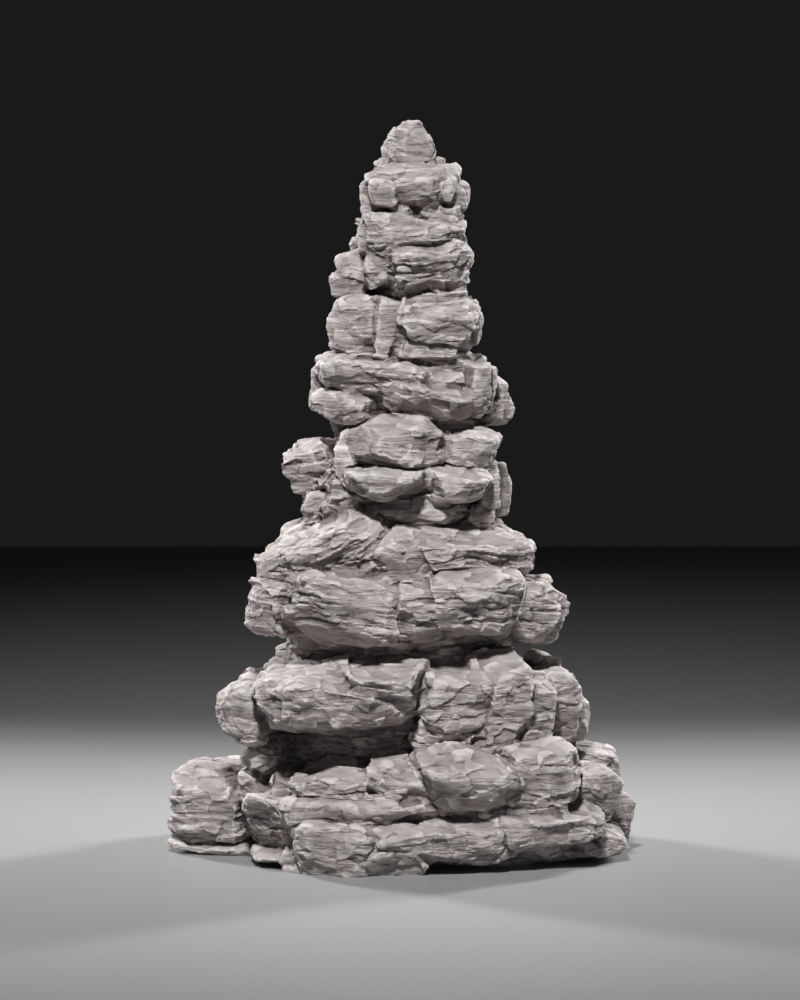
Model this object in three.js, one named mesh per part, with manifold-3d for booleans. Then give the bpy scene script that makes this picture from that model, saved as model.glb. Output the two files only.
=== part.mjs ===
// A stalagmite of stacked, overhanging rock tiers, 1.2 m tall, standing on the flat face where it was cut
// from the cave floor. It grew as one stone, so it is one solid: a leaning core with boulders grown onto it.
// Millimetres, +Z up, the front towards -Y. The origin is in the middle of the flat base.
import * as THREE from "three";
import { ConvexGeometry } from "three/addons/geometries/ConvexGeometry.js";
import { ConvexHull } from "three/addons/math/ConvexHull.js";
import { mergeVertices } from "three/addons/utils/BufferGeometryUtils.js";
import Module from "manifold-3d";

const HEIGHT = 1200; // base to tip
const LEAN = 0.015; // how far the column's middle moves to the right for each millimetre of height
const ROUGHNESS = 0.06; // how far a boulder's bevels lie in or out of their even places, of its size
const TILT = 0.16; // how far a boulder's faces lean from their even directions
const CORNER_SLACK = 0.15; // how much further out the bevels at its corners lie
const LARGE = 120; // a boulder of more half width and half height than this may have its edges bevelled too
const STONE_COLOUR = 0xb5acaa;

const wasm = await Module();
wasm.setup();

// Repeatable random numbers from 0 to 1 (mulberry32).
function randomFrom(seed) {
  let state = seed;
  return () => {
    state = (state + 0x6d2b79f5) | 0;
    let t = Math.imul(state ^ (state >>> 15), 1 | state);
    t = (t + Math.imul(t ^ (t >>> 7), 61 | t)) ^ t;
    return ((t ^ (t >>> 14)) >>> 0) / 4294967296;
  };
}

function solidFrom(geometry) {
  const bare = new THREE.BufferGeometry();
  const plain = geometry.index ? geometry.toNonIndexed() : geometry;
  bare.setAttribute("position", plain.getAttribute("position"));
  const merged = mergeVertices(bare, 1e-3);
  return new wasm.Manifold(new wasm.Mesh({
    numProp: 3,
    vertProperties: new Float32Array(merged.attributes.position.array),
    triVerts: new Uint32Array(merged.index.array),
  }));
}

function geometryFrom(solid) {
  const { vertProperties, triVerts } = solid.getMesh();
  const geometry = new THREE.BufferGeometry();
  geometry.setAttribute("position", new THREE.BufferAttribute(new Float32Array(vertProperties), 3));
  geometry.setIndex(new THREE.BufferAttribute(new Uint32Array(triVerts), 1));
  const faceted = geometry.toNonIndexed(); // so that each facet is shaded flat
  faceted.computeVertexNormals();
  return faceted;
}

// The kinds of boulder. squareness is the power of its rounded-box form: 2 is an ellipsoid, 6 nearly a box.
// undercut is how much narrower it is at the bottom than in the middle, and taper the same for its top.
// edges says whether a large one has its edges bevelled as well as its corners.
const KINDS = {
  dome: { squareness: 2.1, undercut: 0, taper: 0, edges: false },
  slab: { squareness: 2.8, undercut: 0.15, taper: 0, edges: true },
  block: { squareness: 3.3, undercut: 0.06, taper: 0, edges: true },
  wedge: { squareness: 2.6, undercut: 0.55, taper: 0, edges: true },
  bowl: { squareness: 2.5, undercut: 0.35, taper: 0, edges: false },
  cone: { squareness: 2.1, undercut: 0, taper: 0.6, edges: true },
  rough: { squareness: 3, undercut: 0.15, taper: 0, edges: false },
};
const FACES = [[1, 0, 0], [-1, 0, 0], [0, 1, 0], [0, -1, 0], [0, 0, 1], [0, 0, -1]];
const SIGNS = [-1, 1];
const CORNERS = SIGNS.flatMap((x) => SIGNS.flatMap((y) => SIGNS.map((z) => [x, y, z])));
const EDGES = SIGNS.flatMap((x) => SIGNS.flatMap((z) => [[x, 0, z], [0, x, z]]));

// The corners of the convex stone that is left inside a set of planes, each given as its direction divided
// by its distance from the middle. They are the faces of the planes' own hull, turned inside out.
function cornersInside(planes) {
  const hull = new ConvexHull().setFromPoints(planes);
  return hull.faces.map((face) => face.normal.clone().divideScalar(face.constant));
}

// One angular boulder: a box, a little out of square, whose corners and edges are cut away by bevels that
// touch a rounded box inside it. It is cut at unit size and then stretched. A row is its middle x, y, z, its
// half sizes wide, deep and tall, its roll, which tips its right side up, and its turn to the right, both in
// degrees. The row's own numbers also seed its roughness.
function boulder(kind, row) {
  const [x, y, z, wide, deep, tall, roll, turn] = row;
  const { squareness, undercut, taper, edges } = KINDS[kind];
  const random = randomFrom(row.reduce((seed, number) => 31 * seed + number, 0));
  const either = (size) => size * (2 * random() - 1);
  const dual = squareness / (squareness - 1); // the power in a rounded box's distance to its tangent planes
  const planes = [];
  const cut = (towards, slack) => {
    const direction = new THREE.Vector3(...towards.map((c) => c + either(TILT))).normalize();
    const distance = direction.toArray().reduce((sum, c) => sum + Math.abs(c) ** dual, 0) ** (1 / dual);
    planes.push(direction.divideScalar(distance * (1 + slack)));
  };
  for (const face of FACES) cut(face, 0);
  for (const corner of CORNERS) cut(corner, CORNER_SLACK + either(ROUGHNESS));
  if (edges && wide + tall > LARGE) for (const edge of EDGES) cut(edge, either(ROUGHNESS));

  const corners = cornersInside(planes);
  for (const corner of corners) {
    const narrowing = undercut * Math.max(0.3 - corner.z, 0) + taper * Math.max(corner.z + 0.3, 0);
    const width = 1 - narrowing / 1.3;
    corner.multiply(new THREE.Vector3(wide * width, deep * width, tall));
  }
  const geometry = new ConvexGeometry(corners);
  geometry.rotateY(THREE.MathUtils.degToRad(-roll));
  geometry.rotateZ(THREE.MathUtils.degToRad(turn));
  geometry.translate(x, y, z);
  return solidFrom(geometry);
}

// The front and sides, tier by tier from the tip down: the kind and row of every boulder.
const TIERS = [
  // cap
  ["cone", [15, 5, 1160, 42, 46, 42, 0, 10]], // the cap, a blunt cone
  // collar: bodies
  ["dome", [20, 0, 1075, 75, 60, 60, 0, 0]], // body of the collar
  ["slab", [15, -15, 1105, 70, 70, 28, 0, 0]], // flat-topped slab under the cap
  ["slab", [30, -30, 1095, 50, 60, 24, 2, 0]], // its hanging front lobe
  ["block", [-30, -35, 1085, 18, 46, 24, 4, -20]], // left lobe
  ["block", [90, 10, 1080, 14, 38, 22, 0, 20]], // right ear
  // upper drum
  ["dome", [20, 0, 1000, 80, 90, 55, 0, 0]], // drum
  ["slab", [25, -5, 975, 70, 95, 40, 2, 5]], // its wider lower band
  ["dome", [-25, -10, 1020, 26, 70, 38, 0, -15]], // left bulge
  ["block", [-65, -5, 955, 22, 55, 38, 4, -20]], // left shoulder, upper
  ["block", [-95, 15, 925, 10, 26, 24, 0, -20]], // left fin
  ["block", [45, 0, 920, 55, 80, 20, -3, 0]], // recessed block below the drum
  // fourth tier
  ["block", [0, 5, 855, 105, 90, 60, 0, 0]], // body of the tier
  ["block", [-75, -20, 860, 22, 75, 50, 0, -15]], // left block
  ["block", [-35, -40, 860, 20, 70, 50, 0, -8]], // column left of the joint
  ["slab", [55, -35, 875, 65, 85, 44, 2, 4]], // right boulder
  ["block", [60, -5, 800, 60, 85, 26, 0, 5]], // shaded block below
  // fifth tier
  ["dome", [0, 0, 750, 125, 110, 65, 0, 0]], // body
  ["slab", [-20, -35, 775, 105, 110, 34, -4, -2]], // long slab dipping right
  ["slab", [35, -45, 755, 80, 105, 30, -6, 6]], // its right half, hanging low
  ["block", [-100, -45, 750, 30, 70, 26, -3, -22]], // left end lobe
  ["block", [115, -45, 770, 24, 65, 38, 0, 18]], // right column 1
  ["block", [155, -5, 765, 16, 30, 26, 0, 25]], // far right knob, upper
  ["slab", [150, 0, 730, 24, 55, 26, 2, 22]], // far right knob, lower
  ["block", [-95, -15, 705, 26, 70, 32, 0, -20]], // neck lobe, left
  ["block", [50, 0, 705, 70, 100, 32, 0, 5]], // neck, in shade
  // sixth tier
  ["bowl", [5, 0, 580, 145, 150, 75, 0, 0]], // body, a hanging bowl
  ["bowl", [15, -5, 555, 115, 160, 50, 0, 0]], // its bottom
  ["dome", [-10, -50, 675, 85, 125, 48, 0, -3]], // big smooth dome
  ["slab", [-20, -65, 620, 70, 125, 28, -3, -3]], // sill below the dome
  ["slab", [75, -55, 610, 40, 125, 34, -4, 8]], // right sill
  ["slab", [90, -30, 660, 40, 115, 36, 4, 6]], // right upper boulder
  ["slab", [-125, -20, 635, 28, 75, 38, 8, -20]], // left boulder
  ["dome", [130, -85, 600, 18, 48, 34, 0, 20]], // right sill end
  ["block", [150, -15, 595, 16, 30, 42, 0, 25]], // right edge rib
  ["slab", [-85, -25, 570, 36, 110, 38, 0, -15]], // left pillar with strata
  // seventh tier
  ["dome", [10, 0, 480, 185, 175, 85, 0, 0]], // upper body
  ["bowl", [5, 0, 385, 230, 210, 85, 0, 0]], // lower body and its undercut
  ["slab", [-100, -50, 500, 60, 150, 50, 18, -12]], // upper left boulder, sloping
  ["slab", [-160, -90, 455, 42, 85, 46, 14, -25]], // left slope below it
  ["slab", [85, -35, 505, 110, 160, 48, -3, 8]], // upper right boulder
  ["slab", [-85, -70, 405, 130, 180, 70, -6, -5]], // main left boulder
  ["slab", [-180, -115, 410, 40, 80, 50, -5, -25]], // left end
  ["slab", [105, -65, 410, 90, 180, 85, 0, 6]], // main right boulder
  ["slab", [205, -100, 400, 34, 55, 55, -3, 30]], // right end
  // eighth tier
  ["slab", [5, 0, 245, 255, 205, 80, 0, 0]], // body
  ["bowl", [5, 0, 185, 250, 215, 48, 0, 0]], // recessed wall below
  ["slab", [-90, -120, 280, 135, 190, 60, 3, -3]], // long front slab
  ["slab", [5, -120, 310, 50, 180, 42, -4, 5]], // right end of the front slab
  ["slab", [-235, -95, 230, 34, 80, 46, -4, -22]], // left boulder
  ["block", [-225, -70, 270, 24, 60, 34, 20, -20]], // left upper step
  ["block", [105, -85, 265, 65, 170, 90, 0, 8]], // right block, upper
  ["block", [185, -145, 260, 26, 70, 70, 0, 20]], // right block 2
  ["block", [230, -120, 235, 22, 36, 60, 0, 30]], // right block 3
  ["slab", [265, -55, 225, 28, 30, 46, 0, 40]], // right end
  ["dome", [-210, -80, 150, 28, 75, 38, 0, -20]], // boulder in the left recess
  ["block", [155, -70, 205, 55, 160, 32, 8, 15]], // foot of the right blocks
  // foot, bodies
  ["slab", [15, 0, 80, 260, 230, 105, 0, 0]], // body
  // foot, left arm
  ["slab", [-275, 30, 90, 60, 150, 38, -3, -18]], // left arm, upper slab
  ["slab", [-255, 35, 50, 70, 170, 38, -3, -20]], // left arm, lower slab
  ["block", [-345, 10, 40, 26, 50, 38, 0, -25]], // its lower nose
  ["slab", [-275, 25, 25, 65, 125, 26, 0, -25]], // foot in shade
  ["block", [-185, -115, 45, 18, 60, 48, 0, -15]], // block in the notch
  // foot, middle
  ["slab", [-90, -105, 140, 60, 190, 44, 0, -8]], // middle step, left
  ["slab", [10, -120, 140, 90, 190, 48, 0, 0]], // middle step, right
  ["block", [-155, -140, 110, 28, 100, 44, 0, -15]], // knobbly corner
  ["slab", [-50, -135, 95, 120, 200, 42, 0, -4]], // long middle slab
  ["slab", [-115, -125, 35, 60, 190, 36, -5, -12]], // front foot slab, left
  ["slab", [35, -140, 45, 100, 200, 44, 0, 4]], // front foot slab, middle
  ["slab", [-45, -180, 15, 55, 180, 26, 0, -3]], // front corner
  // foot, right
  ["wedge", [100, -105, 130, 75, 200, 80, 0, 8]], // big wedge
  ["wedge", [205, -115, 125, 50, 145, 70, 0, 18]], // second wedge
  ["slab", [280, -120, 100, 42, 75, 50, -6, 28]], // bright boulder
  ["slab", [280, 30, 125, 46, 95, 44, -10, 25]], // far right shelf
  ["block", [340, -30, 60, 26, 42, 32, 0, 30]], // right knob, upper
  ["slab", [215, -65, 65, 75, 190, 46, 3, 18]], // right foot slab
  ["block", [325, -55, 30, 32, 55, 30, 0, 30]], // right knob, lower
  ["slab", [145, -55, 20, 135, 190, 24, 3, 18]], // foot in shade, right
];

// The back, where the tiers go round behind the axis: rings of boulders between two azimuths, in degrees
// from the front. reach is how far their outer faces are from the column's middle.
const BACK = { from: 115, to: 245 };
const RINGS = [
  { z: 1090, reach: 64, tall: 38, count: 2 },
  { z: 1000, reach: 78, tall: 50, count: 2 },
  { z: 875, reach: 108, tall: 58, count: 2 },
  { z: 765, reach: 134, tall: 48, count: 3 },
  { z: 640, reach: 145, tall: 56, count: 2 },
  { z: 485, reach: 170, tall: 46, count: 3 },
  { z: 395, reach: 220, tall: 54, count: 3 },
  { z: 255, reach: 270, tall: 66, count: 4 },
  { z: 122, reach: 315, tall: 52, count: 4 },
  { z: 44, reach: 335, tall: 46, count: 4 },
];

function ringOfBoulders({ z, reach, tall, count }) {
  const random = randomFrom(z);
  const step = (BACK.to - BACK.from) / count;
  return Array.from({ length: count }, (_, i) => {
    const turn = BACK.from + step * (i + 0.35 + 0.3 * random());
    const angle = THREE.MathUtils.degToRad(turn);
    const out = reach * (0.9 + 0.1 * random());
    const deep = 0.5 * out;
    const wide = out * THREE.MathUtils.degToRad(step) * (0.55 + 0.15 * random());
    const x = LEAN * z + (out - deep) * Math.sin(angle);
    const y = -(out - deep) * Math.cos(angle);
    const height = z + tall * (random() - 0.5) * 0.5;
    const size = [wide, deep, tall * (0.85 + 0.3 * random())];
    return boulder("rough", [x, y, height, ...size, 16 * random() - 8, turn]);
  });
}

// The core that the boulders stand on: radius and height, down its side. It shows only in the necks.
const CORE_SIDES = 9;
const CORE = [
  [36, 1130], [52, 1050], [62, 900], [94, 800], [100, 700], [124, 560], [190, 340], [214, 170], [250, 0],
];

function core() {
  const profile = [[0, 1160], ...CORE, [0, 0]].map(([r, z]) => new THREE.Vector2(r, z));
  const geometry = new THREE.LatheGeometry(profile.reverse(), CORE_SIDES);
  geometry.rotateX(Math.PI / 2); // a lathe turns about Y
  geometry.applyMatrix4(new THREE.Matrix4().makeShear(0, 0, 0, 0, LEAN, 0));
  return solidFrom(geometry);
}

// Everything above the flat face where the stalagmite was cut off.
function aboveTheCut() {
  const size = 4 * HEIGHT;
  const box = new THREE.BoxGeometry(size, size, size);
  box.translate(0, 0, size / 2);
  return solidFrom(box);
}

function stalagmite() {
  const boulders = [
    ...TIERS.map(([kind, row]) => boulder(kind, row)),
    ...RINGS.flatMap(ringOfBoulders),
  ];
  const stone = boulders.reduce((joined, next) => joined.add(next), core());
  return stone.intersect(aboveTheCut());
}

// Centred over the origin, and brought to its height exactly.
const geometry = geometryFrom(stalagmite());
geometry.computeBoundingBox();
const { min, max } = geometry.boundingBox;
geometry.translate(-(min.x + max.x) / 2, -(min.y + max.y) / 2, 0);
geometry.scale(1, 1, HEIGHT / max.z);

const material = new THREE.MeshStandardMaterial({ color: STONE_COLOUR, roughness: 0.85, metalness: 0 });
const mesh = new THREE.Mesh(geometry, material);
mesh.name = "stalagmite";

const group = new THREE.Group();
group.add(mesh);

export default group;
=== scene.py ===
# A limestone stalagmite about 1.2 m tall, cut off flat at its base. It grew as one stone, so it
# is one piece. The file follows it from its tip to its foot: first the boulders that each tier
# is lobed into, then the back and the core, then the one skin over all of them and its finish.
import math

import bpy
import numpy as np
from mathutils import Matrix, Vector


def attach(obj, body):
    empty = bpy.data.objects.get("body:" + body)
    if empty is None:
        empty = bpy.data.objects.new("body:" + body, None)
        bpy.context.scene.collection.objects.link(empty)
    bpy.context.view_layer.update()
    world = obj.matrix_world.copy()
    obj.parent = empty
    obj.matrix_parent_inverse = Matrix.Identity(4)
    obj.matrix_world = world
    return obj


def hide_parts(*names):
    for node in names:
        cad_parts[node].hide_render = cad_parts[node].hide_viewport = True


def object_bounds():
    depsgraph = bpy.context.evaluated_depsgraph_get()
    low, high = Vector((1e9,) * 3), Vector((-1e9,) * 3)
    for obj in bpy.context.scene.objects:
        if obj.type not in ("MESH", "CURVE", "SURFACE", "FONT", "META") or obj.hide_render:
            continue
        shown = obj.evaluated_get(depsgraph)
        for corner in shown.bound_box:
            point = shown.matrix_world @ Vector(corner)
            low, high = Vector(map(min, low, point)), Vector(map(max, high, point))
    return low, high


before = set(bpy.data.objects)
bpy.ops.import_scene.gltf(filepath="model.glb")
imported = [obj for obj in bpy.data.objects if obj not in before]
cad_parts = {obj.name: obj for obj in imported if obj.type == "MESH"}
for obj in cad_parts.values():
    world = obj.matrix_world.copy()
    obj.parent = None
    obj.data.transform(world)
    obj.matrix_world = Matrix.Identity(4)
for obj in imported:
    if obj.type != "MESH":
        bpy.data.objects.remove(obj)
cad_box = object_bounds()


# The cap: the blunt cone at the tip, where each drip lands first and leaves its calcite. It is
# the newest part and the smallest, so it is a single boulder.
MM = 0.001
CENTRED = (0.5, 4.5, 0)  # moves the stone over the middle of its base
TALL = 1204  # height that the rows of boulders are given for
STRETCH = cad_box[1][2] / (TALL * MM)  # brings them to the height of the CAD model
# Squareness, how much the foot and the top draw in, how bedded, and whether edges are cut off
KINDS = {
    "dome": (2.1, 0.0, 0.0, 0.4, False),
    "slab": (2.8, 0.15, 0.0, 1.0, True),
    "worn": (3.0, 0.1, 0.0, 0.6, True),
    "wedge": (2.8, 0.55, 0.0, 0.6, True),
    "block": (3.3, 0.06, 0.0, 0.9, True),
    "bowl": (2.5, 0.35, 0.0, 0.7, False),
    "cone": (2.2, 0.12, 0.5, 0.5, False),
    "rough": (3.0, 0.15, 0.0, 1.0, False),
}
GROWN = (1.03, 1)  # a boulder's half sizes are multiplied by the first, and have the second added
GRID = 4.5  # spacing of its grid of points
LEAST_GRID = (20, 12)  # least number of points round it, and of rows up it
LARGE_LEAN = 0.16  # how far its large faces lean
CORNER_OUT = (0.15, 0.06)  # how far out its corner faces lie, and how unevenly
FACET = 42  # size of its small faces
FEWEST, MOST = 22, 170  # how many of them it may have
LEAN = 0.12  # how far they lean
PROUD = (1.045, 0.03)  # how far out they lie, and how unevenly
WAIST = 0.3  # how far up or down from its middle it starts to draw in
SLIMMEST = 0.1  # how narrow it may get, of its width
EDGED = 120  # from this half width and half height together, its edges are cut off too
AREA_POWER = 1.6  # the power in the formula for the area of an egg shape
grown = []


def turned(roll, turn):
    """The turning matrix of a boulder that is rolled about its front-to-back line, right side up,
    and then turned about the upright."""
    r, t = math.radians(-roll), math.radians(turn)
    about_back = [[math.cos(r), 0, math.sin(r)], [0, 1, 0], [-math.sin(r), 0, math.cos(r)]]
    about_up = [[math.cos(t), -math.sin(t), 0], [math.sin(t), math.cos(t), 0], [0, 0, 1]]
    return np.array(about_up) @ np.array(about_back)


def narrowing(height, undercut, taper):
    """How wide a boulder is at a height from -1 to 1: less towards its foot by its undercut, and
    towards its top by its taper, but never less than its slimmest."""
    less = undercut * np.maximum(WAIST - height, 0) + taper * np.maximum(height + WAIST, 0)
    return np.maximum(1 - less / (1 + WAIST), SLIMMEST)


def even_chance(seed):
    """Repeatable numbers from 0 to 1 (mulberry32)."""
    state = int(seed)
    while True:
        state = (state + 0x6D2B79F5) & 0xFFFFFFFF
        t = (state ^ state >> 15) * (1 | state) & 0xFFFFFFFF
        t = (t + ((t ^ t >> 7) * (61 | t) & 0xFFFFFFFF) & 0xFFFFFFFF) ^ t
        yield ((t ^ t >> 14) & 0xFFFFFFFF) / 4294967296


def large_faces(row, power, edges):
    """The boulder's large faces, those of a box with its corners cut off, and a large one's edges
    too, each leant at random. Each is its direction over its distance from the middle, which is
    that of the rounded box |x|^p + |y|^p + |z|^p = 1 where it faces the same way, and for a corner
    or an edge a little more or less."""
    wide, tall = row[3], row[5]
    seed = 0
    for number in row:
        seed = 31 * seed + number
    chance = even_chance(seed)
    signs = (-1, 1)
    sides = [(s, 0, 0) for s in signs] + [(0, s, 0) for s in signs] + [(0, 0, s) for s in signs]
    corners = [(p, q, r) for p in signs for q in signs for r in signs]
    ends = [end for p in signs for r in signs for end in ((p, 0, r), (0, p, r))]
    out, uneven = CORNER_OUT
    cuts = [(side, 0, 0) for side in sides] + [(corner, out, uneven) for corner in corners]
    if edges and wide + tall > EDGED:
        cuts += [(end, 0, uneven) for end in ends]
    dual = power / (power - 1)
    faces = []
    for towards, slack, spread in cuts:
        way = np.array([c + LARGE_LEAN * (2 * next(chance) - 1) for c in towards])
        way /= np.linalg.norm(way)
        slack += spread * (2 * next(chance) - 1)
        faces.append(way / ((np.abs(way) ** dual).sum() ** (1 / dual) * (1 + slack)))
    return np.array(faces)


def small_faces(size, power, chance):
    """The boulder's small faces: planes that touch a rounded box at random places, leant a little
    at random and set a little further out. There are as many as its area has room for, within
    limits, and its area is taken as that of an egg shape."""
    wide, deep, tall = size
    mean = sum(side**AREA_POWER for side in (wide * deep, wide * tall, deep * tall)) / 3
    area = 4 * math.pi * mean ** (1 / AREA_POWER)
    count = int(np.clip(area / FACET**2, FEWEST, MOST))
    spot = chance.normal(size=(count, 3))
    spot /= ((np.abs(spot) ** power).sum(1) ** (1 / power))[:, None]
    plane = np.sign(spot) * np.abs(spot) ** (power - 1) / size
    plane /= np.linalg.norm(plane, axis=1)[:, None]
    plane += LEAN * chance.normal(size=(count, 3))
    out = (plane * spot * size).sum(1) * (PROUD[0] + PROUD[1] * chance.normal(size=count))
    return plane * size / out[:, None]


def globe_faces(columns, rows):
    """The triangles of a grid of points that goes round `columns` times and up `rows` times, with
    one more point at the bottom and one at the top."""
    j, i = np.meshgrid(np.arange(rows - 1), np.arange(columns), indexing="ij")
    a, b = j * columns + i, j * columns + (i + 1) % columns
    c, d = b + columns, a + columns
    k = np.arange(columns)
    after = (k + 1) % columns
    last = (rows - 1) * columns
    sides = np.stack([a, b, c, a, c, d], -1).reshape(-1, 3)
    bottom = np.stack([after, k, np.full(columns, rows * columns)], -1)
    top = np.stack([last + k, last + after, np.full(columns, rows * columns + 1)], -1)
    return np.vstack([sides, bottom, top])


def boulder(kind, *row):
    """A rough block cut all over by flat faces. At each longitude and latitude on a grid the skin
    is as far out as the nearest face there, and it is narrowed, turned and set in its place. What
    would lie under the floor is drawn in until it is on it."""
    power, undercut, taper, ledges, edges = KINDS[kind]
    x, y, z, wide, deep, tall, roll, turn = row
    chance = np.random.default_rng([abs(int(v)) for v in (x, y, z, wide, deep, tall)])
    size = np.array([wide, deep, tall], float) * GROWN[0] + GROWN[1]
    columns = max(LEAST_GRID[0], int(2 * math.pi * max(wide, deep) / GRID))
    half_round = math.pi * (0.5 * tall + 0.5 * max(tall, min(wide, deep)))
    rows = max(LEAST_GRID[1], int(half_round / GRID))
    lon, lat = np.meshgrid(
        np.linspace(-math.pi, math.pi, columns, endpoint=False),
        np.linspace(-math.pi / 2, math.pi / 2, rows + 2)[1:-1],
    )
    way = np.stack([np.cos(lat) * np.cos(lon), np.cos(lat) * np.sin(lon), np.sin(lat)], -1)
    way = np.vstack([way.reshape(-1, 3), [[0, 0, -1], [0, 0, 1]]])
    faces = np.vstack([large_faces(row, power, edges), small_faces(size, power, chance)])
    unit = way / (way @ faces.T).max(1)[:, None]
    slim = narrowing(unit[:, 2], undercut, taper)
    matrix = turned(roll, turn)
    points = (unit * size * np.stack([slim, slim, np.ones_like(slim)], -1)) @ matrix.T
    points *= np.minimum(1, z / np.maximum(-points[:, 2], 1e-6))[:, None]
    middle = np.array([x, y, z * STRETCH], float) + CENTRED
    grown.append(
        {
            "points": points * (1, 1, STRETCH) + middle,
            "faces": globe_faces(columns, rows),
            "middle": middle,
            "size": size,
            "matrix": matrix,
            "power": power,
            "undercut": undercut,
            "taper": taper,
            "ledges": ledges,
        }
    )


# Each row: its kind; its middle to the right, back and up; half its width, depth and height, all
# in millimetres; and how far it is rolled, right side up, and turned to the right, in degrees
CAP = [
    ("cone", 16, -6, 1165, 44, 40, 42, 0, 10),  # the cap, a blunt cone
]
for row in CAP:
    boulder(*row)


# The collar: a flat-topped slab of calcite under the cap, with lobes hanging all round from its
# lip where the drips ran over it, and small blocks in the recess below.
COLLAR = [
    ("dome", 20, 0, 1085, 70, 56, 56, 0, 0),  # body
    ("slab", 20, -16, 1110, 70, 70, 24, 0, 0),  # flat-topped slab under the cap
    ("block", 24, -32, 1095, 42, 60, 28, 2, 0),  # its hanging front lobe
    ("block", -18, -32, 1090, 28, 56, 24, -6, -8),  # left lobe
    ("block", -46, -26, 1085, 12, 30, 24, 0, -20),  # left cheek
    ("block", 70, -16, 1095, 20, 60, 26, 0, 10),  # right shoulder
    ("block", 80, -10, 1080, 18, 44, 22, 0, 20),  # right lobe
    ("block", 95, -4, 1085, 10, 28, 20, 0, 20),  # right ear
    ("block", 2, -18, 1065, 22, 56, 18, 0, -5),  # block in the recess, left
    ("block", 44, -16, 1065, 18, 50, 16, 0, 5),  # block in the recess, right
    ("block", 75, -12, 1060, 22, 50, 18, 0, 10),  # low right lobe
    ("block", -42, -14, 1055, 18, 44, 16, 0, -10),  # low left lobe
]
for row in COLLAR:
    boulder(*row)


# The upper drum: one large boulder with wavy ledges over it and a stepped shoulder on its left,
# all the same calcite, laid down in thin level beds.
DRUM = [
    ("dome", 22, 0, 1000, 80, 90, 60, 0, 0),  # body
    ("slab", 38, -20, 970, 75, 95, 52, 2, 4),  # the large boulder
    ("block", 18, -18, 1015, 75, 85, 42, 4, 0),  # wavy ledges over it
    ("block", -32, -16, 1010, 24, 70, 38, 0, -12),  # left bulge
    ("block", -26, -22, 970, 26, 70, 34, 0, -8),  # left foot
    ("block", -65, -16, 965, 24, 56, 32, 6, -20),  # left shoulder, upper
    ("block", -75, -20, 935, 28, 50, 24, -4, -20),  # left shoulder, lower
    ("block", -95, 10, 925, 10, 28, 24, 0, -20),  # left fin
    ("block", 50, -2, 920, 54, 80, 20, -3, 0),  # recessed block below
    ("block", 95, -6, 930, 10, 60, 24, 0, 10),  # right foot
]
for row in DRUM:
    boulder(*row)


# The fourth tier: upright blocks on the left, parted by a joint from the boulder on the right,
# with a chipped foot in the shade below.
FOURTH = [
    ("block", 2, -2, 855, 105, 90, 56, 0, 0),  # body
    ("block", -58, -28, 865, 38, 80, 50, 0, -12),  # left block
    ("block", -18, -46, 860, 24, 70, 54, -4, -6),  # column left of the joint
    ("block", 2, -30, 855, 30, 80, 50, 0, 0),  # behind the joint
    ("slab", 60, -38, 870, 70, 85, 42, 3, 4),  # right boulder
    ("block", 105, -42, 875, 18, 52, 36, 0, 18),  # right cheek
    ("block", 40, -26, 835, 56, 85, 24, 0, 3),  # chipped foot
    ("block", 60, -8, 800, 60, 85, 26, 0, 5),  # shaded block below
    ("block", -75, -30, 825, 30, 65, 14, 0, -12),  # left foot
    ("block", -100, -30, 865, 10, 20, 34, 0, -25),  # left fin
]
for row in FOURTH:
    boulder(*row)


# The fifth tier: a long slab that dips to the right, its lower half hanging lower still, with
# lobes at its left end and upright columns and knobs at its right.
FIFTH = [
    ("slab", -6, -6, 760, 125, 115, 58, 0, 0),  # body
    ("slab", -36, -34, 785, 100, 110, 38, -5, -2),  # long slab dipping right
    ("slab", 32, -46, 755, 90, 110, 34, -8, 3),  # its right half, hanging low
    ("slab", -80, -56, 740, 54, 85, 26, -4, -10),  # left end lobe
    ("block", -115, -30, 770, 18, 52, 36, 0, -20),  # left end
    ("block", -120, -22, 750, 16, 44, 22, 0, -20),  # left nose
    ("block", 115, -48, 770, 22, 70, 42, 0, 16),  # right column 1
    ("block", 135, -46, 770, 14, 46, 34, 0, 18),  # right column 2
    ("block", 155, -14, 765, 16, 38, 24, 0, 22),  # far right knob, upper
    ("block", 150, -8, 730, 26, 56, 24, 3, 22),  # far right knob, lower
    ("block", -95, -26, 705, 22, 70, 30, 0, -18),  # neck lobe, left
    ("block", -70, -34, 700, 22, 75, 24, 0, -10),  # neck lobe, front
    ("block", 50, 2, 705, 75, 100, 30, 0, 5),  # neck, in shade
]
for row in FIFTH:
    boulder(*row)


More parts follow.
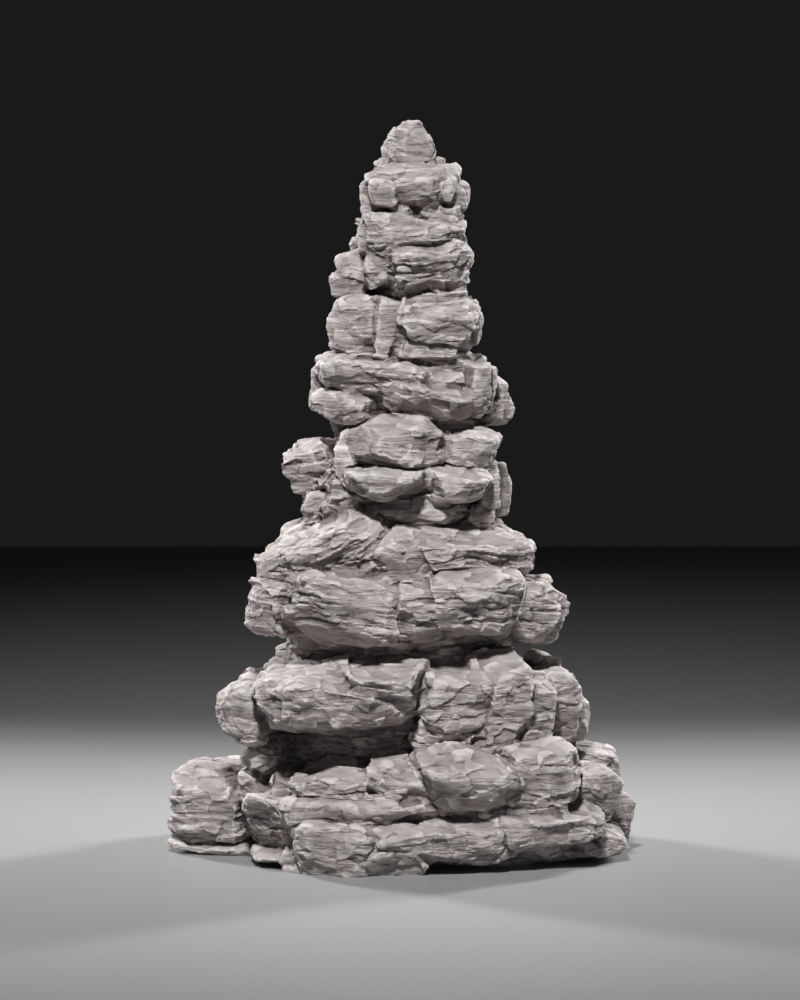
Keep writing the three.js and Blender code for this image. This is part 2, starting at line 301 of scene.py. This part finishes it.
# The sixth tier: a bowl-shaped mass that hangs over the next tier, with one smooth dome on it,
# sills below the dome and rough boulders at both ends.
SIXTH = [
    ("bowl", 4, -2, 590, 145, 150, 80, 0, 0),  # body, a hanging bowl
    ("bowl", 14, -4, 555, 120, 160, 50, 0, 0),  # its bottom
    ("dome", -8, -60, 675, 90, 135, 52, 0, -2),  # big smooth dome
    ("slab", -14, -85, 620, 80, 130, 30, -2, -3),  # sill below the dome
    ("slab", 75, -70, 615, 54, 125, 32, -3, 8),  # right sill
    ("slab", 105, -48, 665, 48, 115, 34, 3, 8),  # right upper boulder
    ("slab", 135, -85, 605, 18, 56, 42, 0, 18),  # right sill end
    ("block", 155, -28, 600, 16, 36, 42, 0, 25),  # right edge rib
    ("slab", -130, -26, 640, 40, 80, 38, 10, -20),  # left boulder
    ("block", -145, -34, 610, 22, 56, 24, 6, -22),  # its lower part
    ("block", -80, -85, 650, 20, 70, 32, 0, -10),  # block left of the dome
    ("block", -85, -70, 605, 24, 80, 28, 0, -12),  # block left of the sill
    ("slab", -75, -44, 565, 44, 110, 32, 0, -12),  # left pillar with strata
    ("block", -120, -40, 570, 22, 65, 28, 0, -18),  # left foot
    ("block", 125, -40, 560, 32, 90, 20, 0, 8),  # right foot
    ("slab", 50, -60, 585, 44, 110, 22, 6, 4),  # front foot
]
for row in SIXTH:
    boulder(*row)


# The seventh tier, the widest in the middle of the stone: two great boulders that meet at an
# upright joint, with sloping ones over them and a blunt slope that water wore between those.
SEVENTH = [
    ("slab", 0, -8, 480, 190, 175, 80, 0, 0),  # upper body
    ("slab", 8, -6, 400, 225, 210, 75, 0, 0),  # lower body
    ("bowl", 8, -6, 345, 215, 205, 44, 0, 0),  # its undercut
    ("slab", -90, -65, 495, 105, 155, 70, 24, -8),  # upper left boulder, sloping
    ("slab", -150, -100, 470, 65, 100, 60, 26, -22),  # left slope below it
    ("dome", -8, -70, 480, 90, 150, 70, 0, 0),  # floor of the channel
    ("slab", -85, -80, 450, 115, 160, 44, 12, -8),  # slope between the left boulders
    ("slab", 100, -58, 500, 110, 160, 50, -2, 8),  # upper right boulder
    ("slab", -85, -75, 420, 140, 185, 75, -8, -4),  # main left boulder
    ("slab", 26, -85, 410, 90, 165, 65, 0, 0),  # behind the joint
    ("slab", -190, -125, 415, 38, 80, 46, -5, -25),  # left end
    ("slab", 105, -80, 420, 90, 185, 70, 3, 4),  # main right boulder
    ("slab", 185, -120, 405, 52, 90, 52, -3, 22),  # right end
    ("slab", 215, -85, 405, 32, 60, 50, -3, 28),  # right nose
    ("block", 240, -48, 390, 14, 24, 34, 0, 30),  # tip of the nose
]
for row in SEVENTH:
    boulder(*row)


# The eighth tier: a long slab stands out in front of a recessed wall, beside blocks that have
# parted along upright joints. Its top is hidden under the seventh.
EIGHTH = [
    ("slab", 8, -6, 250, 255, 205, 75, 0, 0),  # body
    ("slab", 4, 0, 180, 235, 190, 56, 0, 0),  # recessed wall below
    ("worn", -95, -120, 270, 130, 190, 65, 5, -4),  # long front slab
    ("worn", -28, -130, 295, 85, 185, 44, -3, 3),  # its right end
    ("slab", -165, -140, 260, 50, 150, 46, 0, -12),  # its left end
    ("worn", -240, -105, 235, 42, 90, 50, -4, -18),  # left boulder
    ("block", -225, -80, 270, 24, 65, 34, 20, -20),  # left upper step
    ("worn", 90, -105, 260, 75, 175, 75, 0, 4),  # right block, upper
    ("worn", 145, -135, 260, 65, 130, 75, 4, 9),  # its right facet
    ("worn", 75, -100, 215, 60, 165, 52, 0, 2),  # right block, lower
    ("worn", 140, -110, 210, 65, 155, 42, 12, 8),  # sloping foot of the right block
    ("worn", 190, -130, 250, 46, 110, 60, 0, 14),  # right block 2
    ("worn", 230, -105, 245, 46, 90, 65, 8, 20),  # right block 3
    ("dome", 265, -52, 230, 34, 52, 54, 0, 32),  # right end
    ("block", 235, -75, 285, 24, 40, 40, 0, 30),  # back step
    ("dome", -205, -90, 165, 28, 80, 34, 0, -20),  # boulder in the left recess
    ("block", 165, -85, 200, 42, 155, 28, 8, 15),  # foot of the right blocks
]
for row in EIGHTH:
    boulder(*row)


# The foot: the first calcite on the cave floor, spread widest, with an arm to the left, steps in
# the middle and a great wedge to the right. It was cut through level with the floor.
FOOT = [
    ("slab", 4, -30, 75, 275, 265, 95, 0, 0),  # body
    ("worn", -295, 32, 95, 65, 150, 36, -3, -16),  # left arm, upper slab
    ("block", -230, -95, 110, 24, 65, 30, 0, -20),  # its right end
    ("slab", -280, 26, 42, 80, 170, 34, -2, -16),  # left arm, lower slab
    ("block", -340, -10, 38, 22, 46, 36, 0, -25),  # its nose
    ("slab", -270, 12, 14, 54, 130, 24, 4, -22),  # left arm, foot in shade
    ("block", -190, -110, 52, 22, 80, 52, 0, -15),  # block in the notch
    ("block", -170, -115, 115, 28, 105, 32, 0, -15),  # knobbly corner
    ("block", -56, -120, 85, 125, 190, 75, 0, -3),  # middle mass
    ("block", -280, 4, 56, 75, 140, 56, 0, -20),  # left arm mass
    ("block", 210, -85, 60, 105, 180, 60, 0, 14),  # right mass
    ("block", -150, -75, 20, 85, 220, 40, 0, -10),  # base wall, left
    ("block", 165, -75, 18, 140, 245, 44, 0, 9),  # base wall, right
    ("block", 245, -60, 22, 85, 180, 36, 0, 20),  # base wall, far right
    ("block", -275, 4, 16, 80, 140, 30, 0, -18),  # base wall, far left
    ("worn", -95, -175, 125, 80, 130, 44, 4, -6),  # middle step, left
    ("worn", 0, -185, 130, 70, 130, 42, 0, 0),  # middle step, right
    ("worn", -56, -220, 90, 130, 120, 40, 0, -3),  # long middle slab
    ("worn", -4, -230, 60, 110, 120, 32, -3, 0),  # ledge under it
    ("worn", -115, -145, 24, 80, 200, 40, -5, -7),  # front foot slab, left
    ("worn", -105, -300, 34, 70, 70, 44, -6, -4),  # oval slab in front
    ("slab", -20, -275, 18, 70, 90, 28, 0, 2),  # front corner
    ("worn", 65, -250, 46, 120, 110, 44, 2, 3),  # front foot slab, middle
    ("wedge", 105, -250, 135, 90, 110, 60, -9, 2),  # big wedge
    ("worn", 140, -120, 155, 95, 190, 36, 3, 8),  # its top
    ("worn", 205, -195, 130, 75, 120, 70, 0, 9),  # second wedge
    ("worn", 275, -130, 105, 54, 100, 48, -8, 22),  # bright boulder
    ("worn", 285, -10, 130, 56, 115, 46, -10, 22),  # far right shelf
    ("block", 330, -50, 60, 34, 58, 38, -5, 30),  # right knob, upper
    ("block", 330, -65, 32, 34, 60, 28, 0, 28),  # right knob, lower
    ("worn", 200, -200, 65, 115, 130, 46, 3, 9),  # right foot slab
    ("slab", 250, -100, 36, 54, 130, 32, 2, 22),  # its right end
    ("slab", 150, -56, 14, 145, 200, 32, 3, 16),  # foot in shade, right
]
for row in FOOT:
    boulder(*row)


# The back: plain rough boulders in rings, of the same stone and at the same heights as the tiers
# in front. The boulders of a ring share it evenly, each moved and sized a little at random.
BACK = (115, 245)  # where the rings start and end, in degrees round from the front
RINGS = [
    # height, reach, half height, how many
    (1090, 64, 38, 2),
    (1000, 78, 50, 2),
    (875, 108, 58, 2),
    (765, 134, 48, 3),
    (640, 145, 56, 2),
    (485, 170, 46, 3),
    (395, 220, 54, 3),
    (255, 270, 66, 4),
    (122, 315, 52, 4),
    (44, 335, 46, 4),
]
SWAY = 0.015  # how far the stone leans to the right for each millimetre of height
# Each of these four is the least, and how much more it may be at random
PLACE = (0.35, 0.3)  # how far along its share of the ring a boulder is
REACH = (0.9, 0.1)  # how far out it reaches, of its ring's reach
BROAD = (0.55, 0.15)  # half its width, of its share of the ring
HIGH = (0.85, 0.3)  # half its height, of its ring's
DEEP = 0.5  # half its depth, of how far out it reaches
UNEVEN = 0.5  # how far apart in height a ring's boulders may be, of its half height
ROLL = 8  # how far one may be rolled either way, in degrees
for z, reach, tall, count in RINGS:
    chance = even_chance(z)
    step = (BACK[1] - BACK[0]) / count
    for i in range(count):
        turn = BACK[0] + step * (i + PLACE[0] + PLACE[1] * next(chance))
        angle = math.radians(turn)
        out = reach * (REACH[0] + REACH[1] * next(chance))
        deep = DEEP * out
        wide = out * math.radians(step) * (BROAD[0] + BROAD[1] * next(chance))
        height = z + tall * (next(chance) - 0.5) * UNEVEN
        up = tall * (HIGH[0] + HIGH[1] * next(chance))
        x, y = (out - deep) * math.sin(angle), -(out - deep) * math.cos(angle)
        roll = ROLL * (2 * next(chance) - 1)
        boulder("rough", x + SWAY * z, y, height, wide, deep, up, roll, turn)


# The core: the first narrow column of calcite, which all the lobes grew on. It joins them and
# shows nowhere. It has nine sides: on a grid of turns and heights, each point is at the radius
# times the cosine and sine of its turn.
CORE = [
    # radius, height
    (250, 0),
    (214, 170),
    (190, 340),
    (124, 560),
    (100, 700),
    (94, 800),
    (62, 900),
    (52, 1050),
    (36, 1130),
]
CORE_SIDES = 9
CORE_TOP = 1160
radius, height = np.array(CORE, float).T
angle = math.pi / 2 + np.arange(CORE_SIDES) * 2 * math.pi / CORE_SIDES
right = np.outer(radius, np.cos(angle)) + SWAY * height[:, None]
back = np.outer(radius, np.sin(angle))
core = np.stack([right, back, np.repeat(height[:, None], CORE_SIDES, 1)], -1).reshape(-1, 3)
core = np.vstack([core, [[0, 0, 0], [SWAY * CORE_TOP, 0, CORE_TOP]]]) * (1, 1, STRETCH) + CENTRED
core_faces = globe_faces(CORE_SIDES, len(CORE))


# The skin: all of it is one stone, so the boulders are fused into one skin, and the creases
# between them are grown over. Then the beds, joints and chips of weathered limestone are worked
# into it. It is grey-white and dull, lighter on edges that are worn and given a painted highlight,
# and darkened by painted shade in its hollows.
SQUARE = 2.2  # size of the squares of the fused skin, in millimetres
CUT = 1.5  # a corner lower than this is on the cut base
CREASE_ROUNDS, CREASE_SHARE = 20, 0.8
FAR = 9.0  # further off than any place that is looked for
NEARBY = 1.1  # a corner further from a boulder than this times its size isn't on it


def stone_object(name, points, faces):
    """A new object at the origin whose mesh has these corners, in millimetres, and faces."""
    mesh = bpy.data.meshes.new(name)
    mesh.vertices.add(len(points))
    mesh.vertices.foreach_set("co", (points * MM).ravel())
    mesh.loops.add(faces.size)
    mesh.loops.foreach_set("vertex_index", faces.ravel().astype(np.int32))
    mesh.polygons.add(len(faces))
    starts = np.arange(0, faces.size, faces.shape[1], dtype=np.int32)
    mesh.polygons.foreach_set("loop_start", starts)
    mesh.update(calc_edges=True)
    obj = bpy.data.objects.new(name, mesh)
    bpy.context.scene.collection.objects.link(obj)
    return obj


def finished_mesh(obj):
    """The object's mesh with its modifiers applied, which are then taken off."""
    depsgraph = bpy.context.evaluated_depsgraph_get()
    mesh = bpy.data.meshes.new_from_object(obj.evaluated_get(depsgraph))
    obj.modifiers.clear()
    old, obj.data = obj.data, mesh
    bpy.data.meshes.remove(old)
    return mesh


def corners_of(mesh):
    """The mesh's corners in millimetres, one row each."""
    flat = np.empty(len(mesh.vertices) * 3)
    mesh.vertices.foreach_get("co", flat)
    return flat.reshape(-1, 3) / MM


def edges_of(mesh):
    """The two corners of each edge."""
    flat = np.empty(len(mesh.edges) * 2, np.int32)
    mesh.edges.foreach_get("vertices", flat)
    return flat.reshape(-1, 2)


def squares_of(mesh):
    """The four corners of each square of a fused mesh."""
    flat = np.empty(len(mesh.loops), np.int32)
    mesh.loops.foreach_get("vertex_index", flat)
    return flat.reshape(-1, 4)


def eased(values, edges, rounds, share=0.5):
    """Each round moves every row of values this share of the way to the mean of its neighbours."""
    a, b = edges.T
    n = len(values)
    near = np.bincount(edges.ravel(), minlength=n)[:, None]
    for _ in range(rounds):
        sums = [np.bincount(a, v[b], n) + np.bincount(b, v[a], n) for v in values.T]
        values = values + share * (np.stack(sums, -1) / near - values)
    return values


def facing(points, squares):
    """Each corner's outward direction: the mean of its squares' crossed diagonals."""
    a, b, c, d = squares.T
    across = np.cross(points[c] - points[a], points[d] - points[b])
    n = len(points)
    total = [sum(np.bincount(squares[:, k], side, n) for k in range(4)) for side in across.T]
    total = np.stack(total, -1)
    return total / np.maximum(np.linalg.norm(total, axis=1), 1e-9)[:, None]


def bends(points, normals, edges):
    """How hollow the skin is at each corner, from -1 on a spike to 1 in a pit: the mean slope,
    over its edges, up from the plane that its normal stands on."""
    a, b = edges.T
    way = points[b] - points[a]
    long = np.maximum(np.linalg.norm(way, axis=1), 1e-6)
    n = len(points)
    rise = np.bincount(a, (way * normals[a]).sum(1) / long, n)
    rise += np.bincount(b, -(way * normals[b]).sum(1) / long, n)
    return rise / np.maximum(np.bincount(edges.ravel(), minlength=n), 1)


def filled(points, edges, squares, rounds):
    """Grows the creases shut and leaves the proud edges sharp: each round moves every corner most
    of the way out to the mean of its neighbours, but only where that is outwards."""
    for _ in range(rounds):
        normals = facing(points, squares)
        move = ((eased(points, edges, 1, 1.0) - points) * normals).sum(1)
        points = points + normals * (np.maximum(move, 0) * CREASE_SHARE)[:, None]
    return points


firsts = np.cumsum([len(core)] + [len(g["points"]) for g in grown])
points = np.vstack([core] + [g["points"] for g in grown])
faces = np.vstack([core_faces] + [g["faces"] + first for g, first in zip(grown, firsts)])
stone = stone_object("stalagmite_stone", points, faces)
fuse = stone.modifiers.new("fuse", "REMESH")
fuse.mode = "VOXEL"
fuse.voxel_size = SQUARE * MM
skin = finished_mesh(stone)
points, edges, squares = corners_of(skin), edges_of(skin), squares_of(skin)
base = points[:, 2] < CUT
points = filled(points, edges, squares, CREASE_ROUNDS)

# Which boulder each corner is on, which is the one it lies least far out of, and where on it
owner, nearest = np.zeros(len(points), np.int32), np.full(len(points), FAR)
local = points.copy()
for k, g in enumerate(grown):
    reach = NEARBY * np.linalg.norm(g["size"])
    close = np.flatnonzero(np.all(np.abs(points - g["middle"]) < reach, 1))
    own = (points[close] - g["middle"]) @ g["matrix"]
    slim = narrowing(own[:, 2] / g["size"][2], g["undercut"], g["taper"])
    unit = np.abs(own) / g["size"] / np.stack([slim, slim, np.ones_like(slim)], -1)
    ratio = (unit ** g["power"]).sum(1) ** (1 / g["power"])
    better = ratio < nearest[close]
    chosen = close[better]
    nearest[chosen], owner[chosen], local[chosen] = ratio[better], k, own[better]
thin = np.array([min(g["size"]) for g in grown])[owner]
bedded = np.array([g["ledges"] for g in grown])[owner]


def scatter(cells, salt):
    """A number from 0 to 1 for each whole-number cell: its coordinates by large odd numbers,
    then the bits mixed."""
    c = (cells.astype(np.int64) & 0xFFFFFFFF).astype(np.uint32)
    h = c[:, 0] * np.uint32(0x8DA6B343) ^ c[:, 1] * np.uint32(0xD8163841)
    h ^= c[:, 2] * np.uint32(0xCB1AB31F) ^ np.uint32(salt * 0x9E3779B1 & 0xFFFFFFFF)
    h ^= h >> np.uint32(15)
    h *= np.uint32(0x2C1B3C6D)
    h ^= h >> np.uint32(12)
    h *= np.uint32(0x297A2D39)
    h ^= h >> np.uint32(15)
    return h / 2.0**32


def swell(places, salt):
    """Smooth noise from -1 to 1: the eight corner values of the unit cell round each place,
    mixed by the smoothstep of where it is in the cell."""
    low = np.floor(places)
    f = places - low
    f = f * f * (3 - 2 * f)
    total = np.zeros(len(places))
    for dx, dy, dz in np.ndindex(2, 2, 2):
        share = np.prod(np.where((dx, dy, dz), f, 1 - f), 1)
        total += share * scatter(low + (dx, dy, dz), salt)
    return 2 * total - 1


def chips(places, salt):
    """A number from -1 to 1 that is the same all over a chip: a chip is all the places that are
    nearest to one point, and there is one such point, at random, in each unit cell."""
    low = np.floor(places)
    near, height = np.full(len(places), FAR), np.zeros(len(places))
    for step in np.ndindex(3, 3, 3):
        cell = low + step - 1
        away = np.zeros(len(places))
        for axis in range(3):
            away += (cell[:, axis] + scatter(cell, salt + axis) - places[:, axis]) ** 2
        closer = away < near
        near = np.where(closer, away, near)
        height = np.where(closer, scatter(cell, salt + 8), height)
    return 2 * height - 1


def folds(places, salt):
    """Flat triangular faces that meet in creases, from -1 to 1: each unit cell is split into six
    wedges by the order of a place's fractions, and a random height at each cell corner is carried
    across the wedge in proportion. The cells are turned and moved by the salt."""
    turn = math.radians(salt)
    cos, sin = math.cos(turn), math.sin(turn)
    x, y, z = places.T
    twisted = np.stack([cos * x - sin * y + salt, sin * x + cos * y, z + 0.37 * salt], -1)
    corner = np.floor(twisted)
    parts = twisted - corner
    order = np.argsort(-parts, axis=1)
    rows = np.arange(len(parts))
    left, height = np.ones(len(parts)), np.zeros(len(parts))
    for step in range(3):
        part = parts[rows, order[:, step]]
        height += (left - part) * scatter(corner, salt)
        corner[rows, order[:, step]] += 1
        left = part
    return 2 * (height + left * scatter(corner, salt)) - 1


# How far each moves the skin, its size across, back and up, and its salt
FOLDS = [(8.5, (90, 90, 60), 101), (5.5, (44, 44, 28), 257), (2.2, (21, 21, 13), 263)]
CHIPS = [(2.4, (34, 34, 20), 350)]
LEDGES = [(3.8, (75, 75, 14), 300), (2.2, (45, 45, 6.5), 400)]
# How far each wave bends the beds up or down, its length, and its salt
WAVES = [(12, 130, 11), (5, 45, 12), (1.6, 14, 13)]
DRIFT = (9, 40, 14)  # the same for one that shifts them sideways
BARE = (80, 21)  # length and salt of the patches where the ledges have worn away
IN_A_ROW = 17  # boulders, in the pattern
APART = (907, 611)  # from one to the next there, across and back
OUTWARD_ROUNDS = 4
FULL, FULL_LEDGES = 42, 60  # thickness from which the noise, and the ledges, are not weakened
BREAKS, BREAK_SHARE = 3, 0.8
BRITTLE = -0.4  # a corner on a spike sharper than this breaks off
TRIANGLES = 195000
CRISP = 24  # degrees; an edge that is bent more than this is shown sharp

# Each boulder is in its own part of the pattern, and its beds are not quite level
local[:, 0] += APART[0] * (owner % IN_A_ROW)
local[:, 1] += APART[1] * (owner // IN_A_ROW)
level = local.copy()
level[:, 2] += sum(far * swell(local / long, salt) for far, long, salt in WAVES)
drift = DRIFT[0] * swell(local / DRIFT[1], DRIFT[2])
level[:, 0] += drift
level[:, 1] -= drift
normals = eased(facing(points, squares), edges, OUTWARD_ROUNDS)
normals /= np.maximum(np.linalg.norm(normals, axis=1), 0.2)[:, None]

# Ledges stand out on upright skin, less on thin boulders, and least in the worn patches
steep = np.clip(1.5 - 1.5 * np.abs(normals[:, 2]), 0.2, 1)
steep *= bedded
steep *= np.clip(thin / FULL_LEDGES, 0.35, 1)
steep *= np.clip(0.8 + 0.9 * swell(level / BARE[0], BARE[1]), 0.15, 1)
lift = sum(far * folds(local / size, salt) for far, size, salt in FOLDS)
lift += sum(far * chips(level / size, salt) for far, size, salt in CHIPS)
lift += sum(far * chips(level / size, salt) * steep for far, size, salt in LEDGES)
points = points + normals * (lift * np.clip(thin / FULL, 0.4, 1))[:, None]
for _ in range(BREAKS):
    brittle = bends(points, facing(points, squares), edges) < BRITTLE
    points = np.where(brittle[:, None], eased(points, edges, 1, BREAK_SHARE), points)
points[:, 2] = np.where(base, 0, np.maximum(points[:, 2], 0))
skin.vertices.foreach_set("co", (points * MM).ravel())
skin.update()
fewer = stone.modifiers.new("fewer", "DECIMATE")
fewer.ratio = TRIANGLES / (2 * len(skin.polygons))
skin = finished_mesh(stone)
skin.shade_smooth()
skin.set_sharp_from_angle(angle=math.radians(CRISP))

# Painted shade darkens hollows and creases; proud edges are lighter, partly from wear and partly
# as a painted highlight; and bed lines show on upright skin, darkened as painted shadow lines
DIP_ROUNDS, FULL_DIP = 10, 5
points, edges = corners_of(skin), edges_of(skin)
flat = np.empty(len(points) * 3)
skin.vertices.foreach_get("normal", flat)
normals = flat.reshape(-1, 3)
bend = eased(bends(points, normals, edges)[:, None], edges, 1)[:, 0]
dip = ((eased(points, edges, DIP_ROUNDS) - points) * normals).sum(1)
finish = {
    # painted shade: how far each corner lies in a hollow or crease
    "hollow_shade": np.clip(dip / FULL_DIP, 0, 1) * 0.7 + np.clip(bend * 2.5, 0, 1) * 0.5,
    # proud edges, lightened partly as wear and partly as a painted highlight
    "worn": np.clip(-bend * 5.0 - 0.2, 0, 1),
    "upright": np.clip(1.7 - 2 * np.abs(normals[:, 2]), 0, 1),
}
for name, values in finish.items():
    kept = skin.attributes.new(name, "FLOAT", "POINT")
    kept.data.foreach_set("value", values.astype(np.float32))

PALE, DULL = (0.390, 0.350, 0.341), (0.305, 0.268, 0.261)
# painted shade for hollows and creases, painted shadow for bed lines, and a pale colour for worn
# edges that is partly a painted highlight
SHADE, BED_SHADOW_LINE, RUBBED_HIGHLIGHT = (0.085, 0.070, 0.067), (0.110, 0.095, 0.092), (0.660, 0.625, 0.610)
material = bpy.data.materials.new("limestone")
material.use_nodes = True
tree = material.node_tree
shader = tree.nodes["Principled BSDF"]


def node(kind, inputs=None, **settings):
    """A node of this kind with these settings, whose inputs are linked or given values."""
    made = tree.nodes.new(kind)
    for name, value in settings.items():
        setattr(made, name, value)
    for name, value in (inputs or {}).items():
        if isinstance(value, bpy.types.NodeSocket):
            tree.links.new(value, made.inputs[name])
        else:
            made.inputs[name].default_value = value
    return made


def mixed(kind, share, first, second):
    """Two colours mixed, or multiplied and so on, by a share."""
    made = node("ShaderNodeMix", {"Factor": share}, data_type="RGBA", blend_type=kind)
    for socket, value in ((made.inputs[6], first), (made.inputs[7], second)):
        if isinstance(value, bpy.types.NodeSocket):
            tree.links.new(value, socket)
        else:
            socket.default_value = (*value, 1)
    return made.outputs[2]


def ranged(value, low, high, out_low=0.0, out_high=1.0):
    """A value carried from one range to another, and held inside it."""
    ends = {"From Min": low, "From Max": high, "To Min": out_low, "To Max": out_high}
    return node("ShaderNodeMapRange", {"Value": value, **ends}).outputs["Result"]


def grey(value, low, high):
    """A grey that goes from low to high as fractal noise goes through its middle range."""
    tone = ranged(value, 0.3, 0.7, low, high)
    return node("ShaderNodeCombineColor", {"Red": tone, "Green": tone, "Blue": tone}).outputs[0]


def noise(vector, scale, detail, rough):
    """Fractal noise on these coordinates."""
    inputs = {"Vector": vector, "Scale": scale, "Detail": detail, "Roughness": rough}
    return node("ShaderNodeTexNoise", inputs).outputs["Fac"]


def stretched(vector, across, up):
    """The coordinates by a scale across and another upwards."""
    return node("ShaderNodeMapping", {"Vector": vector, "Scale": (across, across, up)}).outputs[0]


def maths(kind, first, second=0.0):
    """A sum of two values, or another operation on them."""
    return node("ShaderNodeMath", {0: first, 1: second}, operation=kind).outputs[0]


def layer(name):
    """One of the numbers kept at the mesh's corners."""
    return node("ShaderNodeAttribute", attribute_name=name).outputs["Fac"]


WANDER = (0.02, 0.02, 0.035)  # how far the bands bend, in metres
place = node("ShaderNodeTexCoord").outputs["Object"]
loose = node("ShaderNodeTexNoise", {"Vector": place, "Scale": 9.0, "Detail": 3.0}).outputs["Color"]
wander = node("ShaderNodeVectorMath", {0: loose, 1: WANDER}, operation="MULTIPLY").outputs[0]
swayed = node("ShaderNodeVectorMath", {0: place, 1: wander}, operation="ADD").outputs[0]
bands = noise(stretched(swayed, 9.0, 110.0), 1.0, 5.0, 0.6)
mottle = noise(place, 11.0, 6.0, 0.6)
grain = noise(place, 420.0, 3.0, 0.7)
pits = noise(place, 90.0, 5.0, 0.65)

# A bed line is wherever the bands pass through their middle, on upright skin: a shallow groove
# in the bump, painted dark as the shadow line under a bed
off_line = maths("ABSOLUTE", maths("SUBTRACT", bands, 0.5))
line = maths("MULTIPLY", ranged(off_line, 0.0, 0.022, 1.0, 0.0), layer("upright"))
colour = mixed("MIX", ranged(mottle, 0.35, 0.65), DULL, PALE)
colour = mixed("MULTIPLY", 0.5, colour, grey(bands, 0.72, 1.15))
colour = mixed("MULTIPLY", 0.35, colour, grey(grain, 0.7, 1.3))
# painted shadow: bed lines darkened on upright skin
colour = mixed("MIX", ranged(line, 0.0, 1.0, 0.0, 0.6), colour, BED_SHADOW_LINE)
# painted shade: hollows and creases darkened
colour = mixed("MIX", ranged(layer("hollow_shade"), 0.05, 1.0, 0.0, 0.8), colour, SHADE)
# painted highlight, partly real wear: proud edges lightened
colour = mixed("MIX", ranged(layer("worn"), 0.0, 0.7, 0.0, 0.6), colour, RUBBED_HIGHLIGHT)
tree.links.new(colour, shader.inputs["Base Color"])
tree.links.new(ranged(pits, 0.3, 0.7, 0.78, 0.95), shader.inputs["Roughness"])
shader.inputs["Specular IOR Level"].default_value = 0.3

plates = node("ShaderNodeTexVoronoi", {"Vector": stretched(swayed, 42.0, 150.0), "Scale": 1.0})
flakes = node("ShaderNodeTexVoronoi", {"Vector": stretched(swayed, 110.0, 260.0), "Scale": 1.0})
RELIEF = [
    # what stands out, how strongly, and how far in metres
    (maths("SUBTRACT", bands, line), 0.7, 0.004),
    (plates.outputs["Color"], 0.6, 0.0035),
    (flakes.outputs["Color"], 0.65, 0.0018),
    (pits, 0.7, 0.004),
    (grain, 0.75, 0.0012),
]
bump = None
for height, strength, distance in RELIEF:
    inputs = {"Height": height, "Strength": strength, "Distance": distance}
    bump = node("ShaderNodeBump", inputs if bump is None else {**inputs, "Normal": bump}).outputs[0]
tree.links.new(bump, shader.inputs["Normal"])
skin.materials.clear()
skin.materials.append(material)
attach(stone, "root")
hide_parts("stalagmite")


# The floor: a plain grey sheet, not part of the stone. It is the surface that the cut base
# rests on.
FLOOR = 6000  # half its width, in millimetres
FLOOR_GREY = 0.26
sheet = np.array([(-1, -1, 0), (1, -1, 0), (1, 1, 0), (-1, 1, 0)], float) * FLOOR
floor = stone_object("floor", sheet, np.array([[0, 1, 2, 3]]))
paint = bpy.data.materials.new("floor")
paint.use_nodes = True
floor_shader = paint.node_tree.nodes["Principled BSDF"]
floor_shader.inputs["Base Color"].default_value = (FLOOR_GREY, FLOOR_GREY, FLOOR_GREY, 1)
floor.data.materials.append(paint)


# The light: a soft key high in front, a weak fill low in front, and two tall boxes behind that
# edge both sides of the stone. The camera looks a little down on its front, from eight metres
# away. Places and sizes here are in metres.
AIM = (0, 0, 0.4)  # what the lamps point at
world = bpy.data.worlds.new("studio")
bpy.context.scene.world = world
world.use_nodes = True
sky = world.node_tree.nodes["Background"]
sky.inputs["Color"].default_value = (1, 1, 1, 1)
sky.inputs["Strength"].default_value = 0.01


def softbox(name, place, width, height, watts, spread):
    """A soft rectangular lamp at one place, pointed at the lower half of the stone, that spreads
    its light by so many degrees."""
    lamp = bpy.data.lights.new(name, "AREA")
    lamp.spread = math.radians(spread)
    lamp.shape, lamp.size, lamp.size_y, lamp.energy = "RECTANGLE", width, height, watts
    box = bpy.data.objects.new(name, lamp)
    box.location = place
    box.rotation_euler = (Vector(AIM) - Vector(place)).to_track_quat("-Z", "Y").to_euler()
    bpy.context.scene.collection.objects.link(box)


softbox("key", (-0.55, -4.5, 5.4), 0.8, 0.7, 30, 40)
softbox("fill", (0.5, -3.2, 0.4), 1.6, 0.5, 0.6, 70)
softbox("rim_left", (-2.2, 2.1, 1.6), 0.3, 1.2, 22, 60)
softbox("rim_right", (2.2, 2.1, 1.6), 0.3, 1.2, 22, 60)
bpy.context.scene.view_settings.view_transform = "Standard"

CAMERA_AWAY = 8
CAMERA_UP = 4.2  # degrees
CAMERA_AIM = 0.5766  # height of what it looks at
IN_VIEW = 1.662  # from the top of the picture to the bottom
SEES = 100  # how far it sees
camera = bpy.data.cameras.new("camera")
camera.sensor_width = 36
camera.lens = camera.sensor_width * CAMERA_AWAY / IN_VIEW
camera.clip_end = SEES
viewer = bpy.data.objects.new("camera", camera)
tilt = math.radians(CAMERA_UP)
aim = Vector((0, 0, CAMERA_AIM))
viewer.location = aim + CAMERA_AWAY * Vector((0, -math.cos(tilt), math.sin(tilt)))
viewer.rotation_euler = (aim - viewer.location).to_track_quat("-Z", "Y").to_euler()
bpy.context.scene.collection.objects.link(viewer)
bpy.context.scene.camera = viewer
